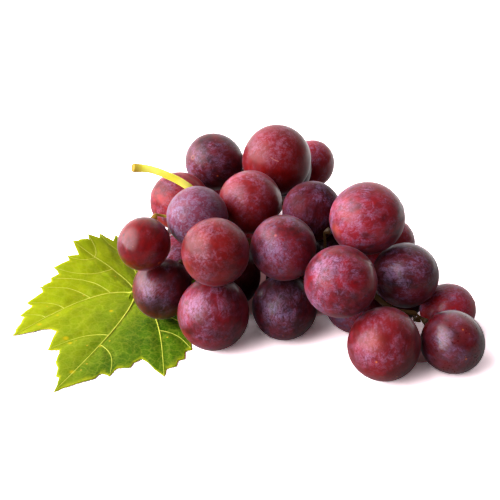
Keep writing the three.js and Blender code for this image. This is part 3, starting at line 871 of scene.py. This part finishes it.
# Where a side vein that ends at a tooth leaves a main vein, or None if no main vein can bear it
def sideFoot(end, mains):
    least, most = leafLook["sideShares"]
    angle = math.radians(leafLook["sideAngle"])
    best = None
    for main in mains:
        along = main["end"].normalized()
        reach = end.dot(along)
        off = (end - along * reach).length
        length = off / math.sin(angle)
        share = (reach - off / math.tan(angle)) / main["end"].length
        if least < share < most and (best is None or length < best[0]):
            best = (length, footOn(main, share))
    # between the first two mains of the left half the side veins rise from the lower one
    lower, upper = mains[1], mains[3]
    turned = lower["end"].angle(end) / lower["end"].angle(upper["end"])
    between = end.cross(lower["end"]).z > 0 and upper["end"].cross(end).z > 0
    outermost, fall, innermost = leafLook["leftFoot"]
    share = outermost - fall * turned
    if between and share > innermost:
        return footOn(lower, share)
    return best[1] if best else None


# Main veins run to the lobes' tips and side veins to the teeth between, as lists of points from the heart
def layVeins(margin):
    count = len(margin)
    tips = [
        i for i in range(count)
        if margin[i].length > margin[i - 1].length and margin[i].length >= margin[(i + 1) % count].length
    ]
    mains = []
    mainTips = []
    for turn, bow in leafLook["mains"]:
        aim = towards(leafLook["midribBearing"] + turn)
        tip = min(tips, key=lambda i: margin[i].normalized().angle(aim))
        if tip not in mainTips:
            mainTips.append(tip)
            mains.append({"end": margin[tip] * leafLook["mainEnd"], "bow": bow})
    short = leafLook["shortWidth"]
    veins = []
    for main in mains:
        grown = short + (1 - short) * main["end"].length / leafLook["midribLength"]
        width = leafLook["mainWidth"] * grown
        veins.append({"from": Vector(), "to": main["end"], "width": width, "bow": main["bow"],
                      "lean": leafLook["mainLean"]})
    for tip in tips:
        end = margin[tip] * leafLook["sideEnd"]
        foot = None if tip in mainTips else sideFoot(end, mains)
        if foot is None:
            continue
        bow = leafLook["sideBow"] if foot.cross(end).z > 0 else -leafLook["sideBow"]
        veins.append({"from": foot, "to": end, "width": leafLook["sideWidth"], "bow": bow,
                      "lean": leafLook["sideLean"]})
    for vein in veins:
        start, end = vein["from"], vein["to"]
        steps = max(leafLook["fewestSteps"], round((end - start).length / leafLook["veinStep"]))
        vein["points"] = [onVein(start, end, vein["bow"], vein["lean"], k / steps) for k in range(steps + 1)]
    return veins


# The rim of the blade from the heart: the margin's sides split, with small nicks between the corners
def layRim(margin):
    rim = []
    for first, second in zip(margin, margin[1:] + margin[:1]):
        for k in range(leafLook["perSide"]):
            place = first.lerp(second, k / leafLook["perSide"])
            depth = leafLook["nicks"] if k else 0
            nick = max(0, noise.noise(place * leafLook["nickScale"])) * depth
            rim.append(place * (1 - nick / place.length))
    return rim


# How far the blade rises or dips at a place. Veins hold it down, wide ones in a wider strip.
def puckerAt(place, segments):
    thin = leafLook["thinReach"]
    nearest = 1.0
    for first, second, weight in segments:
        way = second - first
        share = min(max((place - first).dot(way) / way.length_squared, 0), 1)
        gap = (place - first - way * share).length / (thin + (1 - thin) * weight)
        nearest = min(nearest, gap)
    rise = 1 - math.exp(-((nearest / leafLook["puckerReach"]) ** 2))
    swell, base = leafLook["puckerRise"]
    crinkle = sum(noise.noise(place * scale) * amount for scale, amount in leafLook["crinkles"])
    return leafLook["pucker"] * (rise * swell + base + crinkle)


def makeBlade(heart, margin, tree, veins):
    segments = []
    for vein in veins:
        for first, second in zip(vein["points"], vein["points"][1:]):
            segments.append((first, second, vein["width"] / leafLook["mainWidth"]))
    rim = layRim(margin)
    form = bmesh.new()
    layer = form.loops.layers.uv.new("blade")
    middle = form.verts.new((0, 0, 0))
    shares = {middle: 0.0}
    rings = []
    for j in range(1, leafLook["rings"] + 1):
        ring = [form.verts.new(p * (j / leafLook["rings"])) for p in rim]
        shares.update((vertex, j / leafLook["rings"]) for vertex in ring)
        rings.append(ring)
    around = len(rim)
    for i in range(around):
        nextOne = (i + 1) % around
        form.faces.new((middle, rings[0][i], rings[0][nextOne]))
        for inner, outer in zip(rings, rings[1:]):
            form.faces.new((inner[i], outer[i], outer[nextOne], inner[nextOne]))
    for face in form.faces:
        for loop in face.loops:
            loop[layer].uv = (0.5, shares[loop.vert])
    lost, power = leafLook["rimPucker"]
    for vertex in form.verts:
        share = shares[vertex]
        place = vertex.co.copy()
        under = leafLook["underCad"] + leafLook["underCadRim"] * share ** 3
        height = heightOn(tree, heart + place * leafLook["inset"]) - under
        pucker = puckerAt(place, segments) * (1 - lost * share ** power)
        least = leafLook["thickness"] * leafLook["lowest"]
        vertex.co = Vector((heart.x + place.x, heart.y + place.y, max(height + pucker, least)))
    mesh = bpy.data.meshes.new("leafBlade")
    fullness = [1 - shares[v] ** leafLook["rimThinning"] for v in form.verts]
    form.to_mesh(mesh)
    form.free()
    blade = newPiece("leafBlade", mesh)
    bladeTree = searchTree(mesh)
    full = blade.vertex_groups.new(name="full")
    for index, share in enumerate(fullness):
        full.add([index], share, "REPLACE")
    solid = blade.modifiers.new("thickness", "SOLIDIFY")
    solid.vertex_group = "full"
    solid.thickness_vertex_group = leafLook["rimThickness"]
    solid.thickness = leafLook["thickness"]
    solid.offset = 0
    applyAll(blade)
    smoothShade(blade)
    return blade, bladeTree


# One piece of round tubes, each given as a list of places and radii
def makeTube(name, runs):
    curve = bpy.data.curves.new(name, "CURVE")
    curve.dimensions = "3D"
    curve.bevel_depth = 1
    curve.bevel_resolution = 2
    curve.use_fill_caps = True
    for points in runs:
        spline = curve.splines.new("POLY")
        spline.points.add(len(points) - 1)
        for point, (place, width) in zip(spline.points, points):
            point.co = (*place, 1)
            point.radius = width
    makeActive(newPiece(name, curve))
    bpy.ops.object.convert(target="MESH")
    smoothShade(bpy.context.object)
    return bpy.context.object


def bladeMaterial(heart):
    material, tree, shader = newMaterial("leafBlade")
    paint = {name: fromScreen(*leafPaint[name]) for name in (
        "light", "fresh", "deep", "vein", "edge", "spot", "speck")}
    flat = addVector(tree, "MULTIPLY", placeInMm(tree), (1, 1, 0))
    warp = addNode(tree, "ShaderNodeTexNoise", {"Vector": flat, **leafPaint["warp"]}).outputs["Color"]
    warpReach = leafPaint["warpReach"]
    warped = addVector(tree, "MULTIPLY_ADD", warp, (warpReach, warpReach, 0), flat)
    parts = addNode(tree, "ShaderNodeSeparateXYZ", {0: flat}).outputs
    across, away = leafPaint["shadeAcross"], leafPaint["shadeAway"]
    slope = addMath(tree, "MULTIPLY_ADD", parts["X"], across, addMath(tree, "MULTIPLY", parts["Y"], away))
    middle = leafPaint["shadeMiddle"] - (across * heart.x + away * heart.y) * perMetre
    drift = addNoise(tree, flat, *leafPaint["drift"])
    about = addMath(tree, "ADD", slope, middle)
    shade = addClamp(tree, addMath(tree, "MULTIPLY_ADD", drift, leafPaint["driftAmount"], about))
    green = addMix(tree, shade, paint["deep"], paint["light"])
    patches = addRange(tree, addNoise(tree, flat, *leafPaint["patches"]), *leafPaint["patchRange"])
    patched = addMath(tree, "MULTIPLY", patches, leafPaint["patchAmount"])
    painted = addMix(tree, patched, green, paint["fresh"])
    lines = []
    for scale, wide, narrow, strength in leafPaint["nets"]:
        net = addNode(
            tree, "ShaderNodeTexVoronoi", {"Vector": warped, "Scale": scale}, feature="DISTANCE_TO_EDGE")
        line = addRange(tree, net.outputs["Distance"], wide, narrow)
        painted = addMix(tree, addMath(tree, "MULTIPLY", line, strength), painted, paint["vein"])
        lines.append(line)
    specks = addNode(tree, "ShaderNodeGroup", {"Place": flat, **leafPaint["specks"]}, node_tree=corkSpecks)
    specked = addMath(tree, "MULTIPLY", specks.outputs["Specks"], leafPaint["speckStrength"])
    painted = addMix(tree, specked, painted, paint["speck"])
    for x, y, reach in leafPaint["spots"]:
        spot = Vector((heart.x * perMetre + x, heart.y * perMetre + y, 0))
        mark = addMath(tree, "MULTIPLY", spotMask(tree, flat, spot, reach, 1.0), leafPaint["spotStrength"])
        painted = addMix(tree, mark, painted, paint["spot"])
    fromHeart = addNode(tree, "ShaderNodeUVMap", uv_map="blade").outputs[0]
    share = addNode(tree, "ShaderNodeSeparateXYZ", {0: fromHeart}).outputs["Y"]
    raggedNoise = addNoise(tree, flat, *leafPaint["ragged"])
    ragged = addMath(tree, "MULTIPLY_ADD", raggedNoise, leafPaint["raggedAmount"], share)
    edge = addRange(tree, ragged, *leafPaint["edgeRange"])
    edged = addMix(tree, addMath(tree, "MULTIPLY", edge, leafPaint["edgeStrength"]), painted, paint["edge"])
    tree.links.new(edged, shader.inputs["Base Color"])
    fine = addMath(tree, "MULTIPLY", lines[1], leafPaint["bumpFine"])
    height = addMath(tree, "MULTIPLY_ADD", lines[0], -1.0, fine)
    addBump(tree, shader, height, leafPaint["bump"], leafPaint["bumpDepth"])
    setInputs(tree, shader, leafPaint["surface"])
    return material


def veinMaterial():
    material, tree, shader = newMaterial("leafVeins")
    drift = addNoise(tree, placeInMm(tree), *leafPaint["veinPatches"])
    patches = addRange(tree, drift, *leafPaint["veinRange"])
    painted = addMix(tree, patches, fromScreen(*leafPaint["vein"]), fromScreen(*leafPaint["veinGreen"]))
    tree.links.new(painted, shader.inputs["Base Color"])
    setInputs(tree, shader, leafPaint["veinSurface"])
    return material


# A vein's tube, which tapers to its tip and is sunk into the blade but not into the table
def veinRun(vein, heart, bladeTree):
    run = []
    last = len(vein["points"]) - 1
    for k, place in enumerate(vein["points"]):
        world = heart + place
        share = k / last
        width = vein["width"] * (1 - share) + leafLook["tipWidth"] * share
        top = heightOn(bladeTree, world) + leafLook["thickness"] / 2
        depth = leafLook["sink"] * (width / leafLook["sideWidth"])
        run.append((Vector((world.x, world.y, max(top - depth, width))), width))
    return run


def makeLeaf():
    heart, margin, tree = readLeaf()
    veins = layVeins(margin)
    blade, bladeTree = makeBlade(heart, margin, tree, veins)
    blade.data.materials.append(bladeMaterial(heart))
    threads = makeTube("leafVeins", [veinRun(vein, heart, bladeTree) for vein in veins])
    threads.data.materials.append(veinMaterial())
    route = [Vector((heart.x + x * mm, heart.y + y * mm, z * mm)) for x, y, z in leafLook["stalkRoute"]]
    stalk = makeTube("leafStalk", [[(place, leafLook["stalkRadius"]) for place in route]])
    stalk.data.materials.append(bpy.data.materials["stalk"])
    for piece in (blade, threads, stalk):
        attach(piece, "root")
    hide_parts("leaf")
    print("leaf", len(margin), "margin corners", len(veins), "veins", len(blade.data.polygons))


makeLeaf()


# Studio: white all round, brighter behind and to the left, with one big soft light from the left

studio = {
    "aimNode": "berry_12",
    "aim": (-11.9, 5.7, -4.1),  # from the middle of that berry, in millimetres
    "distance": 450 * mm,
    "elevation": 30,
    "lens": 89.4,
    "nearest": 0.01,
    # inner and outer are degrees from its middle
    "softbox": {"from": (-0.9, -0.18, 0.385), "radiance": 8.4, "inner": 14, "outer": 56},
    # light from all round, and how much more there is from behind, the left and above
    "soft": {"fill": 0.05, "behind": 0.55, "left": 0.2, "above": 0.3},
    "mirrored": {"fill": 0.06, "behind": 1.3, "left": 0.5, "above": 0.2},
    # where along the way each of those starts and is full
    "behindRange": (0.1, 0.9),
    "leftRange": (-0.1, -0.9),
    "aboveRange": (0.2, 1.0),
    "floorSize": 6,
    "floorDrop": 0.05 * mm,
    "floorSeen": (2.55, 2.12, 2.24),
    # from where to where it changes, in metres behind the middle, and what the floor sends back at each
    "sentRange": (0.1, 0.5, 0.2, 0.8),
    "mirroredRange": (0.0, 0.2, 0.3, 1.3),
    # the deep shade under the bunch: middle from that berry and half sizes, in millimetres
    "shades": (((3, 34), (40, 28)), ((49, -10), (10, 10))),
    "shadeRange": (1.0, 0.7, 0, 0.9),
    "shade": (0.4, 0.1, 0.1),
}


def makeCamera():
    aim = middleOf(studio["aimNode"]) + Vector(studio["aim"]) * mm
    rise = math.radians(studio["elevation"])
    lens = bpy.data.cameras.new("camera")
    lens.lens = studio["lens"]
    lens.clip_start = studio["nearest"]
    camera = newPiece("camera", lens)
    camera.location = aim + Vector((0, -math.cos(rise), math.sin(rise))) * studio["distance"]
    camera.rotation_euler = (math.radians(90 - studio["elevation"]), 0, 0)
    bpy.context.scene.camera = camera


# The world is the studio: one big softbox with soft edges, in front of white walls that stand behind the
# bunch. Skins mirror the walls more than they are lit by them, and the eye sees plain white.
def makeLights():
    world = bpy.data.worlds.new("studio")
    bpy.context.scene.world = world
    world.use_nodes = True
    tree = world.node_tree
    tree.nodes.clear()
    direction = addNode(tree, "ShaderNodeTexCoord").outputs["Generated"]
    parts = addNode(tree, "ShaderNodeSeparateXYZ", {0: direction}).outputs
    box = studio["softbox"]
    toBox = addVector(tree, "DOT_PRODUCT", direction, Vector(box["from"]).normalized())
    outer, inner = (math.cos(math.radians(box[edge])) for edge in ("outer", "inner"))
    softbox = addRange(tree, toBox, outer, inner, 0, box["radiance"])
    glows = []
    for part in (studio["soft"], studio["mirrored"]):
        behind = addRange(tree, parts["Y"], *studio["behindRange"], 0, part["behind"])
        left = addRange(tree, parts["X"], *studio["leftRange"], 0, part["left"])
        brightest = part["fill"] + part["above"]
        above = addRange(tree, parts["Z"], *studio["aboveRange"], part["fill"], brightest)
        wall = addMath(tree, "ADD", addMath(tree, "ADD", behind, left), above)
        strength = addMath(tree, "ADD", wall, softbox)
        glow = addNode(tree, "ShaderNodeBackground", {"Color": colour(1, 1, 1), "Strength": strength})
        glows.append(glow.outputs[0])
    rays = addNode(tree, "ShaderNodeLightPath").outputs
    byRay = {0: rays["Is Glossy Ray"], 1: glows[0], 2: glows[1]}
    lit = addNode(tree, "ShaderNodeMixShader", byRay).outputs[0]
    plain = addNode(tree, "ShaderNodeBackground", {"Color": colour(1, 1, 1), "Strength": 1.0}).outputs[0]
    both = addNode(tree, "ShaderNodeMixShader", {0: rays["Is Camera Ray"], 1: lit, 2: plain}).outputs[0]
    output = tree.nodes.new("ShaderNodeOutputWorld")
    tree.links.new(both, output.inputs["Surface"])


# The eye sees a floor that is lit to white. The bunch is lit by a dimmer one, and its skins mirror one
# that is dim in front of the bunch and bright behind it.
def makeFloor():
    deselectAll()
    bpy.ops.mesh.primitive_plane_add(size=studio["floorSize"], location=(0, 0, -studio["floorDrop"]))
    floor = bpy.context.object
    floor.name = "floor"
    material, tree, shader = newMaterial("floor")
    coords = objectCoords(tree)
    depth = addNode(tree, "ShaderNodeSeparateXYZ", {0: coords}).outputs["Y"]
    rays = addNode(tree, "ShaderNodeLightPath").outputs
    sent = addRange(tree, depth, *studio["sentRange"])
    shine = addRange(tree, depth, *studio["mirroredRange"])
    mirrored = addMix(tree, rays["Is Glossy Ray"], sent, shine)
    under = middleOf(studio["aimNode"])
    seen = colour(*studio["floorSeen"])
    for (x, y), (wide, deep) in studio["shades"]:
        away = addVector(tree, "SUBTRACT", coords, (under.x + x * mm, under.y + y * mm, 0))
        scaled = addVector(tree, "MULTIPLY", away, (perMetre / wide, perMetre / deep, 0))
        shaded = addRange(tree, addVector(tree, "LENGTH", scaled), *studio["shadeRange"])
        seen = addMix(tree, shaded, seen, colour(*studio["shade"]))
    shown = addMix(tree, rays["Is Camera Ray"], mirrored, seen)
    sheet = addNode(tree, "ShaderNodeBsdfDiffuse", {"Color": shown})
    tree.nodes.remove(shader)
    tree.links.new(sheet.outputs[0], tree.nodes["Material Output"].inputs["Surface"])
    floor.data.materials.append(material)


makeCamera()
makeLights()
makeFloor()
bpy.context.scene.view_settings.view_transform = "Standard"
print("studio")
